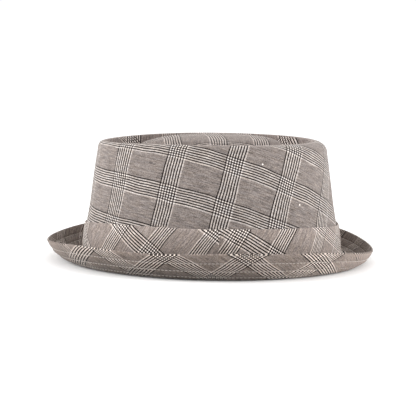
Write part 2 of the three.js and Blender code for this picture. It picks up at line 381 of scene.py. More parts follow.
# %% [markdown]
# A strip of flat cloth that becomes a ring bends as it is wrapped: the leaning wall is cut as
# an arc, and so is the flaring brim. Unrolling reverses it. Going round, the flat strip turns by
# the head's own turning times the sine of the lean, which is what keeps the check straight on
# the flat cloth and makes it slope on the hat.

# %% Unrolling a ring of cloth
def unrolled(base, lean_sine):
    """Flat places and cross directions of a base line round the hat (bearings x 2), starting at
    the back seam. The flat direction turns by the integral of d(heading) * sine of the lean."""
    step = np.diff(base, axis=0)
    length = np.hypot(*step.T)
    heading = np.unwrap(np.arctan2(step[:, 1], step[:, 0]))
    turn = np.concatenate([[0.0], np.cumsum(np.diff(heading) * lean_sine[1:-1])])
    flat = np.vstack([[0.0, 0.0], np.cumsum(np.stack([np.cos(turn), np.sin(turn)], -1)
                                            * length[:, None], 0)])
    turn = np.concatenate([turn, turn[-1:]])
    middle = BEARINGS * 3 // 4  # the wearer's left
    c, s = np.cos(turn[middle]), np.sin(turn[middle])
    flat = (flat - flat[middle]) @ np.array([[c, -s], [s, c]])
    turn = turn - turn[middle]
    return flat, np.stack([-np.sin(turn), np.cos(turn)], -1)


oval_line, outward_line = head_oval(bearings)
wall_lean = np.arctan2(around(WALL_LEAN, bearings), wall_height(bearings))
wall_base, wall_cross = unrolled(oval_line, np.sin(wall_lean))
print("foot of the wall, cut:", round(float(np.hypot(*np.diff(oval_line, axis=0).T).sum())), "mm")

# %% [markdown]
# ## The crown wall
# The wall is one strip of cloth, closed by a seam at the back. It rises from the foot, leans in,
# and rolls over into the lip. The sewn seam with the tip runs along the crest of the lip, so both
# pieces dip a little there, and the seam gathers them into faint puckers. Gentle dents are added
# as a sum of soft bumps, because a hat that has been handled is never a perfect cone.

# %% Soft dents and puckers
def soft_dents(seed, count, bearing, along, along_range, size, widths):
    """Sum of bell-shaped bumps, exp(-(turn / width)^2 - (step / width)^2), with seeded places."""
    draw = np.random.default_rng(seed)
    total = np.zeros(np.broadcast(bearing, along).shape)
    for _ in range(count):
        centre = draw.uniform(-math.pi, math.pi), draw.uniform(*along_range)
        wide = draw.uniform(*widths[0]), draw.uniform(*widths[1])
        turn = (bearing - centre[0] + math.pi) % (2 * math.pi) - math.pi
        total += draw.uniform(-1, 1) * np.exp(-(turn / wide[0]) ** 2
                                              - ((along - centre[1]) / wide[1]) ** 2)
    return total * size


def puckers(seed, bearing, waves, size):
    """Sum of sines round the head with seeded phases, which leaves an uneven gathered line."""
    draw = np.random.default_rng(seed)
    total = np.zeros_like(bearing)
    for wave in waves:
        total += np.sin(wave * bearing + draw.uniform(0, 2 * math.pi)) * draw.uniform(0.4, 1)
    return total * size / len(waves) ** 0.5


SEAM_DIP, SEAM_DIP_WIDTH = 0.22, 0.8
SEAM_WAVES, SEAM_WAVE_SIZE = (41, 57, 73, 96, 118, 139), 0.16  # sines round the head, and mm
seam_waves = puckers(3, ring, SEAM_WAVES, SEAM_WAVE_SIZE)
print("the seam's gathers go in and out by", round(float(np.abs(seam_waves).max()), 2), "mm at most")

# %% [markdown]
# The face is a profile of rows, first up the leaning wall and then over the lip in a quarter of an
# ellipse. Dents are kept away from the foot, where the band lies, and from the seam.

# %% Face of the crown wall
WALL_DENTS = dict(seed=11, count=26, along_range=(40, 90), size=0.45, widths=((.10, .30), (9, 22)))
WALL_GATHER_AT, WALL_GATHER_WIDTH = 3.2, 2.6  # from the seam


def crown_wall_face():
    """Rows of the wall's outer face, and its height measured along the cloth."""
    share = np.concatenate([[0, .01], np.linspace(.03, 1, 44)])[:, None]
    turn = np.linspace(0, math.pi / 2, 15)[1:, None]
    lean, height = around(WALL_LEAN, ring)[None], wall_height(ring)[None]
    roll_in, roll_up = around(LIP_ROLL_IN, ring)[None], around(LIP_ROLL_UP, ring)[None]
    out = np.vstack([-lean * smooth_curve(share, *WALL_PROFILE.T) + 0 * height,
                     -lean - roll_in * (1 - np.cos(turn))])
    up = np.vstack([wall_bottom(ring)[None] + height * share,
                    wall_bottom(ring)[None] + height + roll_up * np.sin(turn)])
    climb = np.hypot(np.diff(out, axis=0), np.diff(up, axis=0))
    along = np.vstack([np.zeros((1, BEARINGS)), np.cumsum(climb, 0)])
    to_seam = along[-1:] - along
    up -= SEAM_DIP * np.exp(-(to_seam / SEAM_DIP_WIDTH) ** 2)
    dent = soft_dents(bearing=ring[None], along=up, **WALL_DENTS)
    dent *= smooth_step(up, 24, 46) * smooth_step(to_seam, 0, 12)
    gather = seam_waves[None] * np.exp(-((to_seam - WALL_GATHER_AT) / WALL_GATHER_WIDTH) ** 2)
    return swept(out + dent + gather, up), along


wall_rows, wall_along = crown_wall_face()
wall_normals = face_normals(wall_rows)
print("wall: cloth is", [round(float(x), 1) for x in (wall_along[-1].min(), wall_along[-1].max())],
      "mm high; normals out:", bool((wall_normals[20, 450] @ [1, 0, 0]) > 0))

# First the wall is unrolled, so each point has its place on the flat strip, and the strip is
# turned by the slope at which it was cut. Then a small smooth correction pulls the stripes to
# where they lie on this hat, because pressing and steaming stretch a cloth by a few millimetres.
# The numbers of such a correction, here and on the brim and the band, were fitted by least
# squares to listed crossings of stripes.

# %% Cloth places on the wall
CHECK_REPEAT = np.array([42.37, 30.84])  # of the stripes along the warp and along the weft
NEAR_SIDE = math.radians(75)  # past this bearing a stretch stays what it is there


def turned(flat, angle, origin):
    """Flat places turned by an angle and moved, to get from a cut piece to the whole cloth."""
    c, s = math.cos(angle), math.sin(angle)
    return flat @ np.array([[c, -s], [s, c]]) - origin


def stretch(bearing, y, powers, tables):
    """Sum of table[n] * x^i * y^j over the powers (i, j), with x = sin(bearing)."""
    x = np.sin(np.clip(bearing, -NEAR_SIDE, NEAR_SIDE))
    terms = np.stack([x ** i * y ** j for i, j in powers], -1)
    return np.stack([terms @ table for table in tables], -1)


def closed(rows):
    """The same grid with its first column again after the last."""
    return np.concatenate([rows, rows[:, :1]], 1)


def doubled(face, normals, thickness, flat):
    """The face and, in the opposite order, the other face of the cloth behind it."""
    inner = (face - normals * thickness)[::-1]
    return np.concatenate([face, inner]), np.concatenate([flat, flat[::-1]])


print("a repeat of the check:", CHECK_REPEAT, "mm")

# %% [markdown]
# The wall's own cut comes next: the slope of the strip in the cloth, and the table of its stretch.
# Then the outer and the inner face become one shell. A highlight is painted along the crest of the
# lip.

# %% Crown wall
WALL_CUT_ANGLE, WALL_CUT_ORIGIN = math.radians(-11.72), np.array([-81.14, 55.38])
WALL_POWERS = [(i, j) for j in range(4) for i in range(5 - j)]
WALL_STRETCH = np.array([[-0.892, -3.086, 3.086, -2.248, -4.87, -0.338, -1.3, -0.739,
                          -3.512, -0.472, -1.513, 2.171, -0.708, 3.455],
                         [1.045, 3.743, 8.3, 0.166, -1.462, -3.531, -0.553, 1.306,
                          -0.342, 0.149, -0.161, 2.216, 1.166, -0.321]])
WALL_MIDDLE, WALL_HALF = 60.0, 40.0  # y is the level less the middle, over half the height
CREST_HIGHLIGHT, CREST_WIDTH = 0.45, 2.0  # painted highlight: how much lighter the crest of the lip is painted, and how widely


def wall_flat(along):
    """Flat places of the wall: base line + height along the cloth * cross direction."""
    start = wall_bottom(bearings) / np.cos(wall_lean)
    height = closed(along) + start
    flat = wall_base[None] + wall_cross[None] * height[..., None]
    level = height * np.cos(wall_lean)
    wide = np.broadcast_to(bearings, level.shape)
    y = (level - WALL_MIDDLE) / WALL_HALF
    return (turned(flat, WALL_CUT_ANGLE, WALL_CUT_ORIGIN)
            + stretch(wide, y, WALL_POWERS, WALL_STRETCH))


wall_cloth_places = wall_flat(wall_along)
crown_wall = shell_mesh("wool_crown_wall", *doubled(wall_rows, wall_normals, WALL_CLOTH,
                                                    wall_cloth_places))
report(crown_wall)
# painted highlight along the crest of the lip
wall_painted_light = 1 + CREST_HIGHLIGHT * np.exp(-((wall_along[-1:] - wall_along) / CREST_WIDTH) ** 2)
paint_light(crown_wall, wall_painted_light)

# %% [markdown]
# ## The crown tip
# The tip is sewn to the wall along the crest of the lip. From there the cloth drops into the
# telescope crease and rises again to the dome, a teardrop with its long slope to the front. The
# rows run from the seam inwards to the dome's top, each a ring round the head.

# %% Face of the crown tip
FALL_ROWS, RISE_ROWS = 32, 42  # rows of the grid down to the crease, and up the dome
FALL_SPACING, RISE_SPACING = 1.15, 0.85  # powers that draw rows together at the seam and the top
TIP_GATHER_AT, TIP_GATHER_WIDTH = 3.0, 2.5  # from the seam
TIP_DENTS = dict(seed=23, count=22, along_range=(0.2, 1.0), size=0.5, widths=((.12, .4), (.1, .3)))


def crown_tip_face():
    """Rows from the seam down the crease and up the dome, as points in mm."""
    fall_share = np.linspace(0, 1, FALL_ROWS)[:, None] ** FALL_SPACING
    crest = around(WALL_LEAN, ring) + around(LIP_ROLL_IN, ring) + CLEARANCE
    inward = crest[None] + around(CREASE_INSET, ring)[None] * fall_share
    low = LIP_HEIGHT[1] - CREASE_DEPTH
    lip = around(LIP_HEIGHT, ring)[None]
    up = lip + (low - lip) * smooth_curve(fall_share, *CREASE_FALL.T)
    from_seam = inward - crest[None]
    up = up - SEAM_DIP * np.exp(-(from_seam / SEAM_DIP_WIDTH) ** 2)
    up = up + seam_waves[None] * np.exp(-((from_seam - TIP_GATHER_AT) / TIP_GATHER_WIDTH) ** 2)
    fall = swept(-inward, up)
    rise_share = np.linspace(0, 1, RISE_ROWS)[1:-1, None] ** RISE_SPACING
    way = np.stack([smooth_curve(rise_share, DOME_RISE_ROWS[:, 0], DOME_RISE_ROWS[:, k])
                    for k in (1, 2, 3)])
    way = around(way, ring[None])
    crease_line = fall[-1]
    top = np.array([0, DOME_SET_BACK, LIP_HEIGHT[1] + DOME_RISE])
    dome = crease_line[None] + (top - crease_line)[None] * way[..., None]
    dome[..., 2] = low + (top[2] - low) * rise_share
    rows = np.concatenate([fall, dome])
    level = np.concatenate([0 * fall_share, rise_share])
    dent = soft_dents(bearing=ring[None], along=level, **TIP_DENTS)
    rows[..., 2] += dent * smooth_step(level, 0, .25) * (1 - smooth_step(level, .85, 1))
    return rows


tip_rows = crown_tip_face()
tip_normals = face_normals(tip_rows)
dome_height = float(np.ptp(tip_rows[..., 2]))
print("tip: the dome stands", round(dome_height, 1), "mm over the crease")

# %% [markdown]
# The tip was cut as an oval, so its flat places are nearly its plan, the view from above. Outside
# the crease the cloth climbs, and a share of the climb is added. An unwrap of the UV map would
# spread the cloth evenly, but wouldn't lay the check as it was cut.

# %% Cloth places on the tip
TIP_CUT_ANGLE = math.radians(10.0)
TIP_CUT_SCALE, TIP_CUT_ORIGIN = np.array([1.0, 0.902]), np.array([-37.5, 1.48])
TIP_CLIMB_SHARE = 0.45
FAR_EASE = np.array([10.0, -4.0])  # how far the cloth was eased round where the far crease begins
FAR_EASE_BEARING, FAR_EASE_WIDTH = 236, 36


def tip_flat(rows):
    """The tip's cut: the plan of the dome, and outside the crease a share of the slope's length
    is added, because the cloth climbs there."""
    wide = closed(rows)
    crease = FALL_ROWS - 1
    plan = wide[..., :2]
    step = np.linalg.norm(np.diff(wide[:FALL_ROWS], axis=0), axis=-1)
    climb = np.vstack([np.cumsum(step[::-1], 0)[::-1], np.zeros((1, BEARINGS + 1))])
    away = plan[:FALL_ROWS] - plan[crease]
    flat_step = np.linalg.norm(away, axis=-1)
    unit = away / np.maximum(flat_step, 0.01)[..., None]
    added = TIP_CLIMB_SHARE * (climb - flat_step)
    plan = np.concatenate([plan[:FALL_ROWS] + unit * added[..., None], plan[FALL_ROWS:]])
    eased = near_bearing(bearings, FAR_EASE_BEARING, FAR_EASE_WIDTH)[None] * np.ones((len(plan), 1))
    eased[FALL_ROWS:] *= np.linspace(1, 0, len(plan) - FALL_ROWS)[:, None]
    return (turned(plan, TIP_CUT_ANGLE, 0.0) * TIP_CUT_SCALE - TIP_CUT_ORIGIN
            + eased[..., None] * FAR_EASE)


tip_places = tip_flat(tip_rows)
print("tip, cut:", np.round(np.ptp(tip_places.reshape(-1, 2), axis=0)), "mm")

# %% [markdown]
# The tip isn't a ring but a cap, so each of its faces ends in a point at the dome's top, and the
# two faces meet at the seam. The shell is made of the underside and then the upper face.

# %% Crown tip
DOME_PAINTED_LIGHT, FAR_CREASE_PAINTED_LIGHT = 0.05, [(0.30, 125, 35)]  # painted light: how much lighter the dome and the crease behind are painted; with bearing and width
tip_under = tip_rows - tip_normals * TIP_CLOTH
crown_tip = shell_mesh("wool_crown_tip", np.concatenate([tip_under[::-1], tip_rows]),
                       np.concatenate([tip_places[::-1], tip_places]), close_rows=False,
                       pole_ends=True)
report(crown_tip)


def tip_painted_light():
    """Painted light: a highlight is painted on the crest, and the dome and the crease behind are
    painted a little lighter.
    """
    from_seam = np.linalg.norm(tip_rows - tip_rows[:1], axis=-1)
    level = (tip_rows[..., 2] - tip_rows[FALL_ROWS - 1, :, 2]) / (CREASE_DEPTH + DOME_RISE)
    level[:FALL_ROWS] = 0
    on_dome = smooth_step(level, 0, .3)
    return (1 + CREST_HIGHLIGHT * np.exp(-(from_seam / CREST_WIDTH) ** 2) + DOME_PAINTED_LIGHT * on_dome
            + near_bearings(ring, FAR_CREASE_PAINTED_LIGHT)[None] * (1 - on_dome))


# painted highlight on the crest, and painted light on the dome and the crease behind
paint_light(crown_tip, np.concatenate([np.ones_like(tip_rows[..., 0]), tip_painted_light()]))

# %% [markdown]
# ## The brim
# The brim is two plies of cloth over an interlining, quilted together by rows of topstitching.
# Its lower face is a profile that falls from the seat under the crown to a resting ring and then
# turns up. The rows of the grid are set out by their distance from the edge, because that is how
# a stitcher guides them, and they are closer together at each row of stitches.

# %% Profile of the brim
STITCH_ROWS = np.array([6.3, 13.3, 20.3, 27.3])  # from the edge, along the cloth
NEAR_STITCHES = np.array([-1.5, -.9, -.5, -.2, .1, .5, .9, 1.5, 2.6, 4.0])  # rows at each of them
EDGE_FOLD = 0.95  # radius of the folded edge
PROFILE_POINTS, SEAT_ROWS, PAST_THE_SEAM = 260, 4, 99.0
brim_steps = np.concatenate([[0, 1.2, 2.4, 3.6], (STITCH_ROWS[:, None] + NEAR_STITCHES).ravel()])
print("brim: rows of the grid on each face:", len(brim_steps) + SEAT_ROWS)


def brim_profile(bearing):
    """Lower face as (distance from the edge, out, up) in many points at each bearing: the seat,
    the fall to the resting ring, the flat ring, and the rise to the edge, each a smooth curve."""
    seat, rest = seat_height(bearing), around(BRIM_REST_OUT, bearing)
    low, high = rest - BRIM_REST_WIDTH / 2, rest + BRIM_REST_WIDTH / 2
    edge = around(BRIM_EDGE_OUT, bearing)
    edge_up = around(BRIM_EDGE_HEIGHT, bearing, DIP_POWER) - EDGE_FOLD
    seat_out = CLEARANCE + BAND_CLOTH
    out = edge + (-WALL_CLOTH - edge) * np.linspace(0, 1, PROFILE_POINTS)[:, None]
    fall = smooth_curve(np.clip((out - seat_out) / (low - seat_out), 0, 1), *BRIM_FALL.T)
    rise = smooth_curve(np.clip((out - high) / (edge - high), 0, 1), *BRIM_RISE.T)
    up = np.where(out < rest, seat * (1 - fall), edge_up * rise)
    length = np.hypot(np.diff(out, axis=0), np.diff(up, axis=0))
    return np.vstack([np.zeros((1, len(bearing))), np.cumsum(length, 0)]), out, up


def brim_rows_at(distance, bearing):
    """Out and up of the lower face at given distances from the edge, at each bearing."""
    along, out, up = brim_profile(bearing)
    reach = np.minimum(distance[:, None], along[-1:])
    sample = [np.stack([np.interp(reach[:, c], along[:, c], part[:, c])
                        for c in range(len(bearing))], 1) for part in (out, up)]
    return (*sample, reach)


# %% [markdown]
# A row of stitches presses a groove into both faces, and the cloth between two rows stands a
# little proud. The thread also draws up small puckers across each channel. All of it is real
# relief in the mesh, because it catches the light along the whole brim.

# %% Quilting
GROOVE_DEPTH, GROOVE_WIDTH, QUILT_RISE = 0.45, 0.8, 0.2
DRAWN_WAVES, DRAWN_SIZE = (37, 61, 88, 117, 149, 176), 0.15  # sines round the head, and mm
print("quilting: a channel stands", GROOVE_DEPTH + QUILT_RISE, "mm over its grooves")


def quilting(distance, bearing, seed):
    """Height of the stitched cloth: -depth * exp(-(d / width)^2) at each row, and between two
    rows sin^2 times the rise and the puckers."""
    depth = np.zeros(distance.shape)
    for row in STITCH_ROWS:
        depth -= GROOVE_DEPTH * np.exp(-((distance - row) / GROOVE_WIDTH) ** 2)
    first, last = STITCH_ROWS[0], STITCH_ROWS[-1]
    channel = np.sin(np.pi * (distance - first) / (STITCH_ROWS[1] - first)) ** 2
    channel *= (distance > first) & (distance < last)
    ripple = np.stack([puckers(seed + k, bearing, DRAWN_WAVES, DRAWN_SIZE)
                       for k in range(len(STITCH_ROWS) - 1)])
    index = np.clip(((distance - first) / (STITCH_ROWS[1] - first)).astype(int), 0, len(ripple) - 1)
    wave = np.take_along_axis(ripple, index, 0)
    return depth + channel * (QUILT_RISE + wave)


# %% [markdown]
# The brim is one closed loop of rows: the lower face from the seat to the edge, the fold round
# the edge, and the upper face back again. The edge dips and rises a little at the wearer's left,
# as a soft brim does, and the cloth gets thinner towards its fold.

# %% Faces of the brim
EDGE_WAVES = [(-1.1, -20, 14), (0.8, 12, 12)]  # height in mm, bearing and width
EDGE_WAVE_REACH, THIN_REACH = 9.0, 14.0  # how far in from the edge
LOWER_SEED, UPPER_SEED = 31, 47
UPPER_QUILT = 1.6  # the upper face is quilted that many times as deep as the lower one
FOLD_ROWS = 5


def brim_shell():
    """Lower face from the seat to the edge, the fold, upper face, and their distances from the
    edge and normals."""
    total = brim_profile(ring)[0][-1].min()
    inner = np.linspace(STITCH_ROWS[-1] + 5.2, total, SEAT_ROWS)
    distance = np.concatenate([brim_steps, inner[:-1], [PAST_THE_SEAM]])
    out, up, reach = brim_rows_at(distance, ring)
    up = up + near_bearings(ring, EDGE_WAVES)[None] * np.exp(-(reach / EDGE_WAVE_REACH) ** 2)
    lower = swept(out, up)[::-1]  # from the seat out to the edge
    reach = reach[::-1]
    normal = face_normals(lower)  # leads out of the lower face
    face = lower + normal * quilting(reach, ring, LOWER_SEED)[..., None]
    face[..., 2] = np.maximum(face[..., 2], 0)  # the brim rests flat on what is under it
    thick = BRIM_CLOTH + (2 * EDGE_FOLD - BRIM_CLOTH) * np.exp(-(reach / THIN_REACH) ** 2)
    upper = lower - normal * (thick + UPPER_QUILT * quilting(reach, ring, UPPER_SEED))[..., None]
    middle = (face[-1] + upper[-1]) / 2
    away = np.cross(np.roll(lower[-1], -1, 0) - np.roll(lower[-1], 1, 0), normal[-1])
    away /= -np.linalg.norm(away, axis=-1, keepdims=True)
    turn = np.linspace(0, math.pi, FOLD_ROWS + 2)[1:-1]
    half = (face[-1] - upper[-1]) / 2
    radius = np.linalg.norm(half, axis=-1, keepdims=True)
    fold = np.stack([middle + half * math.cos(a) + away * radius * math.sin(a) for a in turn])
    return face, fold, upper, reach, normal


brim_face, brim_fold, brim_upper, brim_reach, brim_normal = brim_shell()
print("brim: cloth is", [round(float(x), 1) for x in (brim_reach[0].min(), brim_reach[0].max())],
      "mm wide from the seam to the edge")

# %% [markdown]
# The brim was cut from the cloth as a flat ring with a little flare, and steamed into its curl.
# The line on which it rests is unrolled first, and every other point lies across it by its
# distance along the cloth. The last table is the stretch of the steaming, as on the wall.

# %% Cloth places on the brim
BRIM_FLARE = 0.18  # sine of the flare that the brim's ring is cut to
BRIM_CUT_ANGLE, BRIM_CUT_ORIGIN = math.radians(-40.43), np.array([-81.56, -18.10])
BRIM_POWERS = [(0, 0), (1, 0), (0, 1), (2, 0), (1, 1), (0, 2), (3, 0)]
BRIM_STRETCH = np.array([[0, 2.495, 0.479, -8.062, -5.139, -1.434, -5.611],
                         [0, -0.177, 2.301, 6.661, -4.270, -0.312, 6.411]])
BRIM_BASE_DISTANCE = 28.0  # from the edge to the line that is unrolled
BRIM_HALF = 15.0  # y of the stretch is the distance from that line over this length
ring_line = oval_line + outward_line * around(BRIM_REST_OUT, bearings)[:, None]
brim_base, brim_cross = unrolled(ring_line, -BRIM_FLARE * np.ones(BEARINGS + 1))


def brim_flat(reach):
    """Flat places of the brim: base line + distance out of it * cross direction, turned and
    stretched, and then turned half round, because the brim was cut with the cloth upside down."""
    distance = closed(BRIM_BASE_DISTANCE - reach)
    flat = turned(brim_base[None] + brim_cross[None] * distance[..., None], BRIM_CUT_ANGLE,
                  BRIM_CUT_ORIGIN)
    wide = np.broadcast_to(bearings, distance.shape)
    return -(flat + stretch(wide, distance / BRIM_HALF, BRIM_POWERS, BRIM_STRETCH))


fold_reach = np.repeat(brim_reach[-1:], len(brim_fold), 0) - 1.0
brim_loop = np.concatenate([brim_face, brim_fold, brim_upper[::-1]])
brim_places = brim_flat(np.concatenate([brim_reach, fold_reach, brim_reach[::-1]]))
brim = shell_mesh("wool_brim", brim_loop, brim_places)
report(brim)

# %% [markdown] The brim's lower face is painted darker than its upper face, and darker still towards
# the line on which it rests: painted shade. Less of it is painted behind the wearer's left, and the
# lower face is painted lighter towards the back and the front: painted light. Highlights are painted
# along the edge and on the fold. All of it is bell curves round the head, which the material reads.

# %% Wear of the brim
LOWER_LIGHT, LIGHTEST = 0.80, 1.31  # painted shade of the lower face, and the most light painted on it, beside the cloth as it was woven
PAINTED_SHADE, PAINTED_SHADE_FROM, PAINTED_SHADE_TO = 0.306, 2, 21  # painted shade towards the resting line, full at the second distance from the edge
# share, bearing and width of the bell curves
# the next table takes painted shade off behind the wearer's left
LESS_PAINTED_SHADE = [(0.558, 50, 27)]
# the next table is painted light on the lower face towards the back and the front
END_PAINTED_LIGHT = [(0.50, 66, 32), (0.60, 80, 18), (0.38, -76, 30)]
LIGHTEST_MORE = [(0.30, 80, 14)]
RUBBED = [(0.9, -67, 10), (0.9, 77, 12)]
# painted highlights along the edge of both faces and on the fold
EDGE_HIGHLIGHT, EDGE_HIGHLIGHT_WIDTH, FOLD_LIGHT = 0.2, 1.6, 1.1


def brim_painted_light():
    """How light the lower face, the fold and the upper face are painted: painted shade on the lower
    face, painted light towards its ends, and painted highlights along the edge and on the fold.
    """
    low_shade = (PAINTED_SHADE - near_bearings(ring, LESS_PAINTED_SHADE)) * smooth_step(brim_reach, PAINTED_SHADE_FROM, PAINTED_SHADE_TO)
    lower = (LOWER_LIGHT - low_shade) * (1 + near_bearings(ring, END_PAINTED_LIGHT))
    lower = np.minimum(lower, LIGHTEST + near_bearings(ring, LIGHTEST_MORE))
    edge = EDGE_HIGHLIGHT * np.exp(-(brim_reach / EDGE_HIGHLIGHT_WIDTH) ** 2)
    return np.concatenate([lower + edge, np.full(brim_fold.shape[:2], FOLD_LIGHT),
                           (1 + edge)[::-1]])


brim_light = brim_painted_light()
paint_light(brim, brim_light)
set_points(brim, "rubbed", np.tile(near_bearings(ring, RUBBED), (len(brim_loop), 1)), 0.0)
print("brim: light between", np.round([brim_light.min(), brim_light.max()], 2))

# %% [markdown]
# ## Topstitching
# A machine stitch shows as a short bowed piece of thread between two needle holes. Each is a
# little tube with six sides, worked out for all stitches at once: a centre on the row, the row's
# direction, and the cloth's normal. They lie in the grooves of both faces.

# %% Stitches along a row
STITCH_PITCH, STITCH_LENGTH, THREAD_RADIUS = 2.9, 2.4, 0.18


def stitches_along(line, normal, pitch=STITCH_PITCH, length=STITCH_LENGTH, radius=THREAD_RADIUS):
    """Rings of points (stitches x 5 x 6 x 3) along a closed line: centre + along * t * length / 2
    + normal * bow(t) + thread circle, with the thread thinner at both needle holes."""
    wide, wide_normal = np.vstack([line, line[:1]]), np.vstack([normal, normal[:1]])
    step = np.linalg.norm(np.diff(wide, axis=0), axis=1)
    distance = np.concatenate([[0], np.cumsum(step)])
    count = int(distance[-1] / pitch)
    place = (np.arange(count) + 0.5) * distance[-1] / count

    def at(value, where):
        return np.stack([np.interp(where % distance[-1], distance, value[:, k])
                         for k in range(3)], -1)

    t = np.array([-1, -.62, 0, .62, 1])
    where = place[:, None] + t[None] * length / 2
    centre, out = at(wide, where), at(wide_normal, where)
    along = at(wide, where + 0.4) - at(wide, where - 0.4)
    along /= np.linalg.norm(along, axis=-1, keepdims=True)
    out /= np.linalg.norm(out, axis=-1, keepdims=True)
    centre = centre + out * (radius * (0.75 - 1.5 * np.abs(t) ** 3))[None, :, None]
    side = np.cross(along, out)
    angle = np.arange(6) * math.pi / 3
    size = radius * (1 - 0.45 * t ** 4)
    circle = (side[:, :, None] * np.cos(angle)[None, None, :, None]
              + out[:, :, None] * np.sin(angle)[None, None, :, None])
    return centre[:, :, None] + circle * size[None, :, None, None]


def thread_mesh(name, rings):
    """One mesh of many little tubes: squares between the rings and a six-sided cap at each end."""
    count, steps, sides = rings.shape[:3]
    base = (np.arange(count) * steps * sides)[:, None, None, None]
    r = np.arange(steps - 1)[None, :, None, None] * sides
    c = np.arange(sides)[None, None, :, None]
    onward = (c + 1) % sides
    squares = np.concatenate([base + r + c, base + r + sides + c, base + r + sides + onward,
                              base + r + onward], -1).reshape(-1, 4)
    caps = np.concatenate([base[:, 0, 0] + np.arange(sides)[None],
                           base[:, 0, 0] + (steps - 1) * sides + np.arange(sides)[None, ::-1]])
    loops = np.concatenate([squares.ravel(), caps.ravel()])
    sizes = np.concatenate([np.full(len(squares), 4), np.full(len(caps), sides)])
    return mesh_object(name, rings.reshape(-1, 3), loops, sizes, None)


def brim_stitches():
    """All four rows of stitches on both faces of the brim."""
    found = []
    for distance in STITCH_ROWS:
        row = int(np.argmin(np.abs(brim_reach[:, 0] - distance)))
        found.append(stitches_along(brim_face[row], brim_normal[row]))
        found.append(stitches_along(brim_upper[row], -brim_normal[row]))
    return np.concatenate(found)


brim_topstitching = thread_mesh("brim_topstitching", brim_stitches())
report(brim_topstitching)

# %% [markdown]
# ## The hat band
# The band is a bias strip with folded edges. It starts on the wearer's left, goes once round
# the foot of the crown, and its end laps over its beginning, so there are two layers for the
# width of a thumb. The grid is an open strip here: it runs a little more than one turn, and the
# last stretch climbs by the thickness of the cloth.

# %% Open strips round the hat
def strip_mesh(name, rows, flat_rows):
    """A shell from rows that close on themselves but not round the hat; each end gets one face."""
    count_r, count_c = rows.shape[:2]
    r, c = np.arange(count_r)[:, None], np.arange(count_c - 1)[None, :]
    above = (r + 1) % count_r
    corners = np.stack([r * count_c + c, r * count_c + c + 1, above * count_c + c + 1,
                        above * count_c + c], -1).reshape(-1, 4)
    ends = [np.arange(count_r) * count_c, np.arange(count_r)[::-1] * count_c + count_c - 1]
    loops = np.concatenate([corners.ravel(), *ends])
    sizes = np.concatenate([np.full(len(corners), 4), [count_r, count_r]])
    return mesh_object(name, rows.reshape(-1, 3), loops, sizes, flat_rows.reshape(-1, 2)[loops])


BAND_SHARES = np.concatenate([[0, .015, .05], np.linspace(.12, .90, 15), [.955, .985, 1]])
print("rows on each face of a band:", len(BAND_SHARES))


def band_loop(bearing, bottom, height, inset, thickness, face_shift):
    """Closed rows of a band with rounded edges: the outer face upwards, then the inner face
    downwards, both following the wall at its inset."""
    level = bottom[None] + height * BAND_SHARES[:, None]
    base = wall_out(bearing[None], level - wall_bottom(bearing)[None]) + inset[None]
    from_edge = np.minimum(BAND_SHARES, 1 - BAND_SHARES)[:, None] * height
    half = thickness / 2
    round_off = half - np.sqrt(np.clip(half ** 2 - np.clip(half - from_edge, 0, half) ** 2, 0, None))
    outer, inner = base + thickness - round_off + face_shift(bearing, level), base + round_off
    place, out = head_oval(bearing)

    def on_oval(distance):
        return np.stack([place[:, 0] + out[:, 0] * distance, place[:, 1] + out[:, 1] * distance,
                         level + 0 * distance], -1)

    return np.concatenate([on_oval(outer), on_oval(inner)[::-1]])


# %% [markdown]
# The band isn't pulled tight, so its outer face stands off in soft waves of a few tenths of a
# millimetre. The end climbs onto the beginning just before the two meet, and its cut edge slants.

# %% Hat band
LAP_EDGE = BAND_LAP_OFFSET / (HEAD[2] + WALL_CLOTH)
LAP_START = LAP_EDGE - BAND_LAP / (HEAD[0] + WALL_CLOTH)
LAP_GAP = 0.1  # between the two layers
CLIMB_FROM, CLIMB_TO = 0.14, 0.01  # radians before the beginning of the band
SLANT, SLANT_LENGTH = 0.012, 0.1  # radians at the foot, and over the last radians of the band
TOP_WAVES, TOP_WAVE_SIZE = (5, 9, 14, 23), 0.25  # sines round the head, and mm
BAND_DENTS = dict(seed=61, count=30, along_range=(5, 40), size=0.35, widths=((.08, .3), (5, 14)))
BAND_COLUMNS = 640
band_end = LAP_EDGE + 2 * math.pi
band_bearings = np.linspace(LAP_START, band_end, BAND_COLUMNS)
loop_shares = np.concatenate([BAND_SHARES, BAND_SHARES[::-1]])[:, None]


def band_face_shift(bearing, level):
    """How far the outer face stands off the wall."""
    return soft_dents(bearing=bearing[None], along=level, **BAND_DENTS)


def hat_band_rows():
    """Closed rows of the band from its beginning to the end that lies over it."""
    onto = LAP_START + 2 * math.pi
    climb = smooth_step(band_bearings, onto - CLIMB_FROM, onto - CLIMB_TO) * (BAND_CLOTH + LAP_GAP)
    wave = puckers(71, band_bearings, TOP_WAVES, TOP_WAVE_SIZE)
    rows = band_loop(band_bearings, wall_bottom(band_bearings), BAND_HEIGHT + wave[None],
                     CLEARANCE + climb, BAND_CLOTH, band_face_shift)
    # the end is cut a little slantwise: its foot reaches less far round than its top
    slant = SLANT * smooth_step(band_bearings, band_end - SLANT_LENGTH, band_end)
    angle = -slant[None] * (1 - loop_shares)
    c, s = np.cos(angle), np.sin(angle)
    x, y = rows[..., 0].copy(), rows[..., 1].copy()
    rows[..., 0], rows[..., 1] = x * c - y * s, x * s + y * c
    return rows


band_rows = hat_band_rows()
band_line = head_oval(band_bearings)[0]
band_length = np.concatenate([[0], np.cumsum(np.hypot(*np.diff(band_line, axis=0).T))])
print("hat band:", round(float(band_length[-1])), "mm long by", BAND_HEIGHT, "mm")

# %% [markdown]
# A bias strip is cut across the cloth at a slant, so that it can bend round the crown. It gives a
# little everywhere, and most where it bends round the front and the back. Both ends show on the
# wearer's left, so each has its own map into the cloth, a short sum of powers, and far from them
# the two maps change slowly into each other.

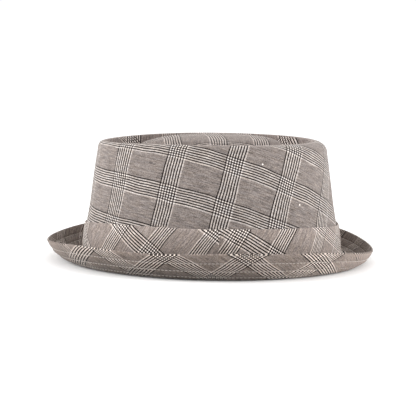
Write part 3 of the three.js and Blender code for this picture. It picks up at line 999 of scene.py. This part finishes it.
# %% Cloth places on the hat band
# each visible end of the strip: numbers for 1, s, h, s^2, s h, h^2, s^3, s^2 h and s h^2, where s
# is the length from the wearer's left and h the height over the band's bottom edge, in mm / 10
BAND_POWERS = [(0, 0), (1, 0), (0, 1), (2, 0), (1, 1), (0, 2), (3, 0), (2, 1), (1, 2)]
BAND_START_CUT = np.array([[-30.2417, 4.6933, 8.5087, 0.1408, -0.0648,
                            0.0392, -0.0138, -0.0012, 0.0018],
                           [12.6897, -9.2026, 5.5731, 0.3223, -0.2294,
                            0.0226, -0.0282, 0.0268, -0.0081]])
BAND_END_CUT = np.array([[17.6548, 5.4979, 7.6649, 0.0627, -0.0948,
                          0.0532, 0.0067, -0.0152, 0.0123],
                         [-67.9515, -8.5439, 6.2298, -0.0897, 0.0974,
                          0.0784, -0.0052, -0.0019, 0.0009]])
BAND_REPEATS = np.array([6, -12])
BAND_BEND = 92.0  # past this length from the wearer's left, the bias runs straight on
# where the bias gives more at the front and the back, from and to a length, and by how much
START_GIVE_ALONG, START_ALONG, START_ALONG_RISE = (84, 129), 0.02, 0.01
START_GIVE_ACROSS, START_ACROSS = (66, 90), 3.2
END_GIVE_ACROSS, END_ACROSS = (88, 112), 0.42
BEHIND_FROM, BEHIND_TO = 170, 440  # where one end's map changes into the other's


def bias_places(length, height, cut):
    """Flat places by the sum of cut[n] * s^i * h^j within the bend, and straight on outside it."""
    inner = np.clip(length, -BAND_BEND, BAND_BEND)
    beyond = length - inner

    def at(s):
        terms = np.stack([(s / 10) ** i * (height / 10) ** j for i, j in BAND_POWERS], -1)
        return np.stack([terms @ numbers for numbers in cut], -1)

    slope = at(inner) - at(inner - np.sign(beyond))
    return at(inner) + slope * np.abs(beyond)[..., None]


def band_flat():
    """Flat places of the band, turned half round at last, because it was cut with the cloth
    upside down, as the brim was."""
    height = loop_shares * BAND_HEIGHT + 0 * band_length[None]
    length = band_length[None] + 0 * height
    from_start = length + np.interp(0, band_bearings, -band_length)
    from_end = length - np.interp(2 * math.pi, band_bearings, band_length)
    start = bias_places(from_start, height, BAND_START_CUT)
    end = bias_places(from_end, height, BAND_END_CUT) + BAND_REPEATS * CHECK_REPEAT
    bent = np.clip(from_start, *START_GIVE_ALONG) - START_GIVE_ALONG[0]
    start[..., 0] += bent * (START_ALONG + START_ALONG_RISE * height)
    start[..., 1] += START_ACROSS * smooth_step(from_start, *START_GIVE_ACROSS)
    end[..., 1] -= END_ACROSS * height * smooth_step(-from_end, *END_GIVE_ACROSS)
    share = smooth_step(length, BEHIND_FROM, BEHIND_TO)[..., None]
    return -(start * (1 - share) + end * share)


hat_band = strip_mesh("wool_hat_band", band_rows, band_flat())
report(hat_band)
paint_light(hat_band, np.ones(band_rows.shape[:2]))

# %% [markdown]
# ## The sweatband
# Inside every such hat a plain band covers the seam of wall and brim. It doesn't show from the
# side, so it is kept plain: a smooth twill band with a row of stitches near its lower edge. It is
# made by the same function as the hat band, set inside the wall and closed all round.

# %% Sweatband
SWEATBAND_ROW, SWEATBAND_PITCH, SWEATBAND_STITCH = 3.5, 3.2, 2.6


def no_shift(bearing, level):
    """The sweatband lies flat against the wall."""
    return np.zeros((len(level), len(bearing)))


sweat_inset = np.full(BEARINGS, -WALL_CLOTH - CLEARANCE - SWEATBAND_CLOTH)
sweat_rows = band_loop(ring, seat_height(ring), SWEATBAND_HEIGHT, sweat_inset, SWEATBAND_CLOTH,
                       no_shift)
sweat_length = np.concatenate([[0], np.cumsum(np.hypot(*np.diff(oval_line, axis=0).T))])
sweat_height = loop_shares * SWEATBAND_HEIGHT
sweat_places = np.stack(np.broadcast_arrays(sweat_length[None], sweat_height), -1)
sweatband = shell_mesh("twill_sweatband", sweat_rows, sweat_places)
report(sweatband)


def sweatband_stitches():
    """One row of stitches near the lower edge, on the face that touches the head."""
    inner = sweat_rows[len(BAND_SHARES):][::-1]
    row = int(np.argmin(np.abs(BAND_SHARES * SWEATBAND_HEIGHT - SWEATBAND_ROW)))
    return stitches_along(inner[row], -face_normals(inner)[row], pitch=SWEATBAND_PITCH,
                          length=SWEATBAND_STITCH)


sweatband_topstitching = thread_mesh("sweatband_topstitching", sweatband_stitches())
report(sweatband_topstitching)

# %% [markdown]
# ## Wool cloth
# The cloth is a glen check. Warp threads run one way and weft threads the other; both are
# mostly mid grey, and at each repeat come seven pairs of a dark and a light line. Where a dark
# warp line crosses a dark weft line the cloth is black, light over light is white, and dark over
# light is grey. The material works this out from the flat-cloth places in the UV map "cloth":
# each direction gives -1 (dark), 0 (ground) or +1 (light), and their sum picks the colour.
# A cell pattern of single threads, slubs along the weft, a plain weave bump and sheen make it
# wool. Only mathematics is used, no picture.
#
# Nodes are usually joined by hand in the shader editor. A small class does it here: it makes a
# node, puts values or links into its sockets, and gives back what comes out.

# %% A small helper for node trees
class Nodes:
    """Makes nodes in a material and joins them: values go into sockets, sockets are linked."""

    def __init__(self, name):
        self.material = bpy.data.materials.new(name)
        self.material.use_nodes = True
        self.tree = self.material.node_tree
        self.shader = self.tree.nodes["Principled BSDF"]

    def put(self, socket, value):
        if isinstance(value, bpy.types.NodeSocket):
            self.tree.links.new(value, socket)
        else:
            socket.default_value = value

    def node(self, kind, inputs=(), **settings):
        made = self.tree.nodes.new(kind)
        for key, value in settings.items():
            setattr(made, key, value)
        pairs = inputs.items() if isinstance(inputs, dict) else enumerate(inputs)
        for key, value in pairs:
            self.put(made.inputs[key], value)
        return made

    def math(self, operation, *values):
        return self.node("ShaderNodeMath", values, operation=operation).outputs[0]

    def vector(self, operation, *values):
        return self.node("ShaderNodeVectorMath", values, operation=operation).outputs[0]

    def noise(self, place, detail, scale=1.0):
        """Smooth noise on the flat cloth: a number is its first output and a colour its second."""
        return self.node("ShaderNodeTexNoise", {"Vector": place, "Scale": scale, "Detail": detail},
                         noise_dimensions="2D")

    def attribute(self, name):
        """A number that the mesh carries on its points."""
        return self.node("ShaderNodeAttribute", attribute_name=name).outputs["Fac"]

    def ramp(self, value, stops):
        made = self.node("ShaderNodeValToRGB", [value])
        band = made.color_ramp
        while len(band.elements) < len(stops):
            band.elements.new(0.5)
        for element, (position, color) in zip(band.elements, stops):
            element.position, element.color = position, (*color, 1)
        return made.outputs[0]


print("the helper makes:", [name for name in vars(Nodes) if not name.startswith("_")])

# %% [markdown]
# A stripe is a band of lines that comes again at every repeat. `FLOORED_MODULO` gives the place
# within a repeat, also where the place is negative. The pairs of lines start with the dark line
# in the warp and with the light one in the weft.

# %% The stripes
WARP_PITCH, WEFT_PITCH, LINES = 2.0, 1.78, 7
CROSSING_SHADE = -0.42  # added where two stripes cross
CHECK_COLORS = [(0.0, (.002, .0015, .0015)), (0.25, (.013, .010, .009)), (0.5, (.171, .148, .137)),
                (0.75, (.365, .327, .304)), (1.0, (.74, .695, .66))]
print("stripes:", LINES * WARP_PITCH, "and", round(LINES * WEFT_PITCH, 2), "mm wide")


def stripe(nodes, place, repeat, pitch, first):
    """0 on the ground and pairs of -1 (dark) and +1 (light) lines in a stripe; `first` is the
    tone of the line that a pair starts with."""
    moved = nodes.math("ADD", place, repeat * 100 + LINES * pitch / 2)
    within = nodes.math("FLOORED_MODULO", moved, repeat)
    inside = nodes.math("LESS_THAN", within, LINES * pitch)
    phase = nodes.math("FRACT", nodes.math("DIVIDE", within, pitch))
    second = nodes.math("GREATER_THAN", phase, 0.5)
    tone = nodes.math("MULTIPLY_ADD", second, -2.0 * first, float(first))
    return nodes.math("MULTIPLY", tone, inside)


def crossed_stripes(nodes, across, along, contrast, depth):
    """The check, and its shade: the dark yarn is the thicker one, so a stripe is a little darker
    than the ground, and the cloth is darkest where two stripes cross."""
    warp = stripe(nodes, across, CHECK_REPEAT[0], WARP_PITCH, -1)
    weft = stripe(nodes, along, CHECK_REPEAT[1], WEFT_PITCH, 1)
    in_warp, in_weft = nodes.math("ABSOLUTE", warp), nodes.math("ABSOLUTE", weft)
    in_stripe = nodes.math("MULTIPLY", nodes.math("MAXIMUM", in_warp, in_weft), -depth)
    shade = nodes.math("MULTIPLY_ADD", nodes.math("MULTIPLY", in_warp, in_weft), CROSSING_SHADE,
                       in_stripe)
    return nodes.math("MULTIPLY", nodes.math("ADD", warp, weft), contrast), shade


# %% [markdown]
# Woven wool is uneven at three scales. The whole cloth wanders by less than a millimetre, the
# yarn has thick and thin stretches (slubs), and each single thread has a tone of its own. White
# noise gives that tone, one value for each whole number of threads across and along. The points of
# the mesh come last: where their painted light is strongest the check is washed out, and where they
# say that the cloth is rubbed, the check weakens.

# %% Threads, slubs and wear
WANDER_SCALE, WANDER_SIZE = 0.045, 1.6  # waves to a millimetre, and mm
SALT_SIZE, SLUB_SIZE = 0.75, 1.5
SLUB_STRETCH, HEATHER_STRETCH = (0.10, 1.15, 0.0), (0.12, 0.7, 0.0)
HEATHER = [(0.35, (1.025, .985, .96)), (0.65, (.975, .97, .99))]
# from, rate and most of the washing out of the check where the painted light is strong
WASHED_OUT_FROM, WASHED_OUT_RATE, WASHED_OUT_MOST = 1.32, 6.0, 0.8
KNOT_RADIUS, KNOT_LIGHT = 0.6, 2.5
WALL_KNOTS = [(27.0, 73.0), (46.8, 42.2)]  # bearing in degrees, height along the cloth


def wandering(nodes, flat):
    """The flat place, moved a little, so that no line of the cloth is quite straight."""
    wander = nodes.noise(flat, 1.0, WANDER_SCALE).outputs["Color"]
    wander = nodes.vector("SUBTRACT", wander, (0.5, 0.5, 0.5))
    wander = nodes.vector("MULTIPLY", wander, (WANDER_SIZE, WANDER_SIZE, 0.0))
    return nodes.vector("ADD", flat, wander)


def uneven_yarn(nodes, place, grain):
    """Tone of the single threads and of the slubs along the weft."""
    slub = nodes.noise(nodes.vector("MULTIPLY", place, SLUB_STRETCH), 2.0).outputs[0]
    salt = nodes.math("MULTIPLY", nodes.math("SUBTRACT", grain, 0.5), SALT_SIZE)
    return nodes.math("ADD", salt, nodes.math("MULTIPLY", nodes.math("SUBTRACT", slub, 0.5),
                                              SLUB_SIZE))


def check_kept(nodes, fading):
    # the check is washed out where the painted light passes a level, and weakens where the cloth is
    # rubbed
    washed_out = nodes.math("MULTIPLY", nodes.math("SUBTRACT", fading, WASHED_OUT_FROM), WASHED_OUT_RATE)
    washed_out = nodes.math("MINIMUM", nodes.math("MAXIMUM", washed_out, 0.0), WASHED_OUT_MOST)
    not_rubbed = nodes.math("SUBTRACT", 1.0, nodes.attribute("rubbed"))
    return nodes.math("MULTIPLY", nodes.math("SUBTRACT", 1.0, washed_out), not_rubbed)


def knot_places():
    """Flat places of the small white knots in the wall's yarn."""
    found = []
    for bearing, height in WALL_KNOTS:
        column = int(np.argmin(np.abs(np.degrees(ring) - bearing)))
        found.append([np.interp(height, wall_along[:, column], wall_cloth_places[:, column, k])
                      for k in (0, 1)])
    return found


wall_knots = knot_places()
print("knots lie in the cloth at:", np.round(wall_knots, 1).tolist(), "mm")

# %% [markdown]
# Now the parts come together. The stripes, the yarn and the washing out by painted light or rubbing
# add up to one number, and a colour ramp turns it into black, grey or white, which the painted light
# and shade on the mesh then scales. The plain weave is a bump: the height of a thread is the sine
# across it. Sheen is the light that catches in the nap of wool. Each piece gets its own contrast and
# sheen, because each was cut from another stretch of the cloth and pressed in its own way. Each also
# gets its own tone, and the tones are partly painted light and shade: the band is made lighter for
# the shade of the brim over it, and the tip and the brim are made darker, so the pieces are lit and
# shaded copies of one cloth.

# %% The checked wool
METRES_TO_MM = (1000.0, 1000.0, 0.0)
WEAVE_SIZE, GRAIN_RELIEF, WEAVE_STRENGTH, WEAVE_HEIGHT = 0.5, 0.4, 0.55, 0.00018


def checked_wool(name, tone, sheen, contrast, depth, knots=()):
    """The tone scales its colours and the contrast its lines, the depth darkens its stripes,
    and the knots are flat places of small white knots in the yarn."""
    nodes = Nodes(name)
    uv = nodes.node("ShaderNodeUVMap", uv_map="cloth").outputs[0]
    flat = nodes.vector("MULTIPLY", uv, METRES_TO_MM)
    place = wandering(nodes, flat)
    axes = nodes.node("ShaderNodeSeparateXYZ", [place])
    across, along = axes.outputs[0], axes.outputs[1]
    # single threads: four to a pair of lines, one direction over the other in turn
    thread_x = nodes.math("DIVIDE", across, WARP_PITCH / 4)
    thread_y = nodes.math("DIVIDE", along, WEFT_PITCH / 4)
    cell = nodes.node("ShaderNodeCombineXYZ", [nodes.math("FLOOR", thread_x),
                                               nodes.math("FLOOR", thread_y), 0.0]).outputs[0]
    grain = nodes.node("ShaderNodeTexWhiteNoise", [cell], noise_dimensions="2D").outputs[0]
    check, shade = crossed_stripes(nodes, across, along, contrast, depth)
    total = nodes.math("ADD", check, uneven_yarn(nodes, place, grain))
    total = nodes.math("ADD", total, shade)
    fading = nodes.attribute("fading")
    total = nodes.math("MULTIPLY", total, check_kept(nodes, fading))
    for knot in knots:
        away = nodes.node("ShaderNodeVectorMath", [flat, (*knot, 0.0)], operation="DISTANCE")
        inside = nodes.math("LESS_THAN", away.outputs["Value"], KNOT_RADIUS)
        total = nodes.math("MULTIPLY_ADD", inside, KNOT_LIGHT, total)
    stops = [(position, tuple(part * share for part, share in zip(color, tone)))
             for position, color in CHECK_COLORS]
    color = nodes.ramp(nodes.math("MULTIPLY_ADD", total, 0.25, 0.5), stops)
    # the yarn is spun from browner and bluer wool
    heather = nodes.noise(nodes.vector("MULTIPLY", place, HEATHER_STRETCH), 1.0).outputs[0]
    color = nodes.vector("MULTIPLY", color, nodes.ramp(heather, HEATHER))
    # the colour is scaled by the painted light and shade that the points of the mesh carry
    color_with_painted_light = nodes.node("ShaderNodeVectorMath", {0: color, "Scale": fading}, operation="SCALE")
    nodes.put(nodes.shader.inputs["Base Color"], color_with_painted_light.outputs[0])
    # plain weave: the height of a thread is the sine across it, pushed down where it goes under
    weave = nodes.math("MULTIPLY", nodes.math("SINE", nodes.math("MULTIPLY", thread_x, math.pi)),
                       nodes.math("SINE", nodes.math("MULTIPLY", thread_y, math.pi)))
    height = nodes.math("ADD", nodes.math("MULTIPLY", weave, WEAVE_SIZE),
                        nodes.math("MULTIPLY", grain, GRAIN_RELIEF))
    bump = nodes.node("ShaderNodeBump", {"Strength": WEAVE_STRENGTH, "Distance": WEAVE_HEIGHT,
                                         "Height": height})
    nodes.put(nodes.shader.inputs["Normal"], bump.outputs[0])
    nodes.shader.inputs["Roughness"].default_value = 0.92
    nodes.shader.inputs["Specular IOR Level"].default_value = 0.15
    nodes.shader.inputs["Sheen Weight"].default_value = sheen
    nodes.shader.inputs["Sheen Roughness"].default_value = 0.45
    nodes.shader.inputs["Sheen Tint"].default_value = (1.0, 0.93, 0.88, 1.0)
    return nodes.material


# the tones are partly painted light and shade: the band's is much lighter to make up for the brim's
# shade over it, and the tip's and the brim's are darker than the wall's
for piece, finish, tone, sheen, contrast, depth, knots in (
        (crown_wall, "crown_wool", (1.085, 1.09, 1.085), 0.22, 1.12, 0.12, wall_knots),
        (crown_tip, "tip_wool", (.80, .77, .76), 0.17, 1.2, 0.11, ()),
        (brim, "brim_wool", (.97, .93, .885), 0.12, 1.6, 0.36, ()),
        (hat_band, "band_wool", (1.48, 1.46, 1.43), 0.22, 1.2, 0.16, ())):
    piece.data.materials.append(checked_wool(finish, tone, sheen, contrast, depth, knots))
print("wool nodes:", len(bpy.data.materials["crown_wool"].node_tree.nodes))

# %% [markdown]
# The thread and the sweatband have one colour each. A mottle between two tones keeps them from
# looking like plastic, and a sine along the diagonal of the cloth gives the ribs of a twill.

# %% Thread and twill
TWILL_PITCH, TWILL_STRENGTH, TWILL_HEIGHT = 0.0012, 0.6, 0.0002
MOTTLE_SCALE = 900.0  # waves to a metre


def plain_cloth(name, color, light, roughness, sheen, twill):
    """Cloth of one colour: fine diagonal ribs and a mottle between two tones of the colour."""
    nodes = Nodes(name)
    place = nodes.node("ShaderNodeTexCoord").outputs["Object"]
    mottle = nodes.node("ShaderNodeTexNoise", {"Vector": place, "Scale": MOTTLE_SCALE,
                                               "Detail": 2.0}).outputs[0]
    nodes.put(nodes.shader.inputs["Base Color"], nodes.ramp(mottle, [(0.3, color), (0.7, light)]))
    if twill:
        uv = nodes.node("ShaderNodeUVMap", uv_map="cloth").outputs[0]
        axes = nodes.node("ShaderNodeSeparateXYZ", [uv])
        diagonal = nodes.math("ADD", axes.outputs[0], axes.outputs[1])
        ribs = nodes.math("SINE", nodes.math("MULTIPLY", diagonal, 2 * math.pi / TWILL_PITCH))
        bump = nodes.node("ShaderNodeBump", {"Strength": TWILL_STRENGTH,
                                             "Distance": TWILL_HEIGHT, "Height": ribs})
        nodes.put(nodes.shader.inputs["Normal"], bump.outputs[0])
    nodes.shader.inputs["Roughness"].default_value = roughness
    nodes.shader.inputs["Sheen Weight"].default_value = sheen
    return nodes.material


thread = plain_cloth("thread", (.40, .36, .33), (.60, .55, .50), 0.7, 0.2, False)
twill = plain_cloth("charcoal_twill", (.035, .031, .029), (.060, .053, .049), 0.6, 0.3, True)
brim_topstitching.data.materials.append(thread)
sweatband_topstitching.data.materials.append(twill)
sweatband.data.materials.append(twill)
print("plain finishes:", thread.name, "and", twill.name)

# %% [markdown]
# ## What each piece stands for
# Every piece rides on the one rigid body and replaces the plain solid of the same place. The size
# that each cloth was cut to is worked out and printed.

# %% Riding and replacing
for piece, node, slot in ((crown_wall, "crown_wall", "crown_cloth"),
                          (crown_tip, "crown_tip", "tip_cloth"),
                          (brim, "brim", "brim_cloth"),
                          (hat_band, "hat_band", "band_cloth"),
                          (sweatband, "sweatband", "sweatband_cloth")):
    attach(piece, "root")
    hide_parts(node)
for piece, slot in ((brim_topstitching, "brim_cloth"),
                    (sweatband_topstitching, "sweatband_cloth")):
    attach(piece, "root")

# what each sheet was cut to: width and length in metres
wall_cut = float(wall_along[-1].max()) * MM, float(sweat_length[-1]) * MM
to_top = np.concatenate([tip_rows, np.broadcast_to(tip_rows[-1].mean(0), (1, BEARINGS, 3))])
tip_reach = np.linalg.norm(np.diff(to_top, axis=0), axis=-1).sum(0) * MM  # from the seam to the top
back_column, far_column, front_column, near_column = np.arange(4) * BEARINGS // 4
tip_cut = (float(tip_reach[near_column] + tip_reach[far_column]),
           float(tip_reach[front_column] + tip_reach[back_column]))
resting_length = float(np.hypot(*np.diff(ring_line, axis=0).T).sum())
brim_cut = float(brim_reach[0].max()) * MM, resting_length * MM
for name, cut, rows in (("wall", wall_cut, wall_rows), ("tip", tip_cut, to_top),
                        ("brim", brim_cut, brim_face)):
    print(name, "cut in mm:", [round(x / MM, 1) for x in cut], "face area in m2:",
          round(face_area(closed(rows)), 4))

# %% [markdown]
# ## Studio
# A plain pale floor and soft light from everywhere: the world gives an even white, and two large
# soft lamps stand in front of the hat and behind it, a little on the camera's side. They lift the
# crown over the underside of the brim. The floor lies 0.4 mm low, so that its face and the brim's
# lowest faces don't share one plane, which would leave dark specks.

# %% Floor, world and lamps
FLOOR_HALF, FLOOR_DROP = 3.0, 0.0004
WORLD_LIGHT = 1.03
HAT_MIDDLE = Vector((0, 0, 0.05))
floor_mesh = bpy.data.meshes.new("floor")
floor_mesh.from_pydata([(x * FLOOR_HALF, y * FLOOR_HALF, 0)
                        for x, y in ((-1, -1), (1, -1), (1, 1), (-1, 1))], [], [(0, 1, 2, 3)])
floor = bpy.data.objects.new("floor", floor_mesh)
bpy.context.scene.collection.objects.link(floor)
floor.location.z = -FLOOR_DROP
floor_paint = Nodes("pale_floor")
floor_paint.shader.inputs["Base Color"].default_value = (0.95, 0.95, 0.95, 1)
floor_paint.shader.inputs["Roughness"].default_value = 0.95
floor_mesh.materials.append(floor_paint.material)

world = bpy.data.worlds.new("studio")
bpy.context.scene.world = world
world.use_nodes = True
world.node_tree.nodes["Background"].inputs["Color"].default_value = (1, 1, 1, 1)
world.node_tree.nodes["Background"].inputs["Strength"].default_value = WORLD_LIGHT


def soft_lamp(name, place, size, power):
    """A square lamp at a place in metres that faces the hat's middle."""
    lamp = bpy.data.objects.new(name, bpy.data.lights.new(name, "AREA"))
    lamp.data.size, lamp.data.energy = size, power
    lamp.location = place
    lamp.rotation_mode = "QUATERNION"
    lamp.rotation_quaternion = (HAT_MIDDLE - Vector(place)).to_track_quat("-Z", "Y")
    bpy.context.scene.collection.objects.link(lamp)


soft_lamp("front_lamp", (0.5, -2.2, 0.9), 1.5, 54)
soft_lamp("back_lamp", (0.5, 2.2, 0.9), 1.5, 47)
bpy.context.scene.view_settings.view_transform = "Standard"
print("lamps:", [light.name for light in bpy.data.lights])

# %% [markdown]
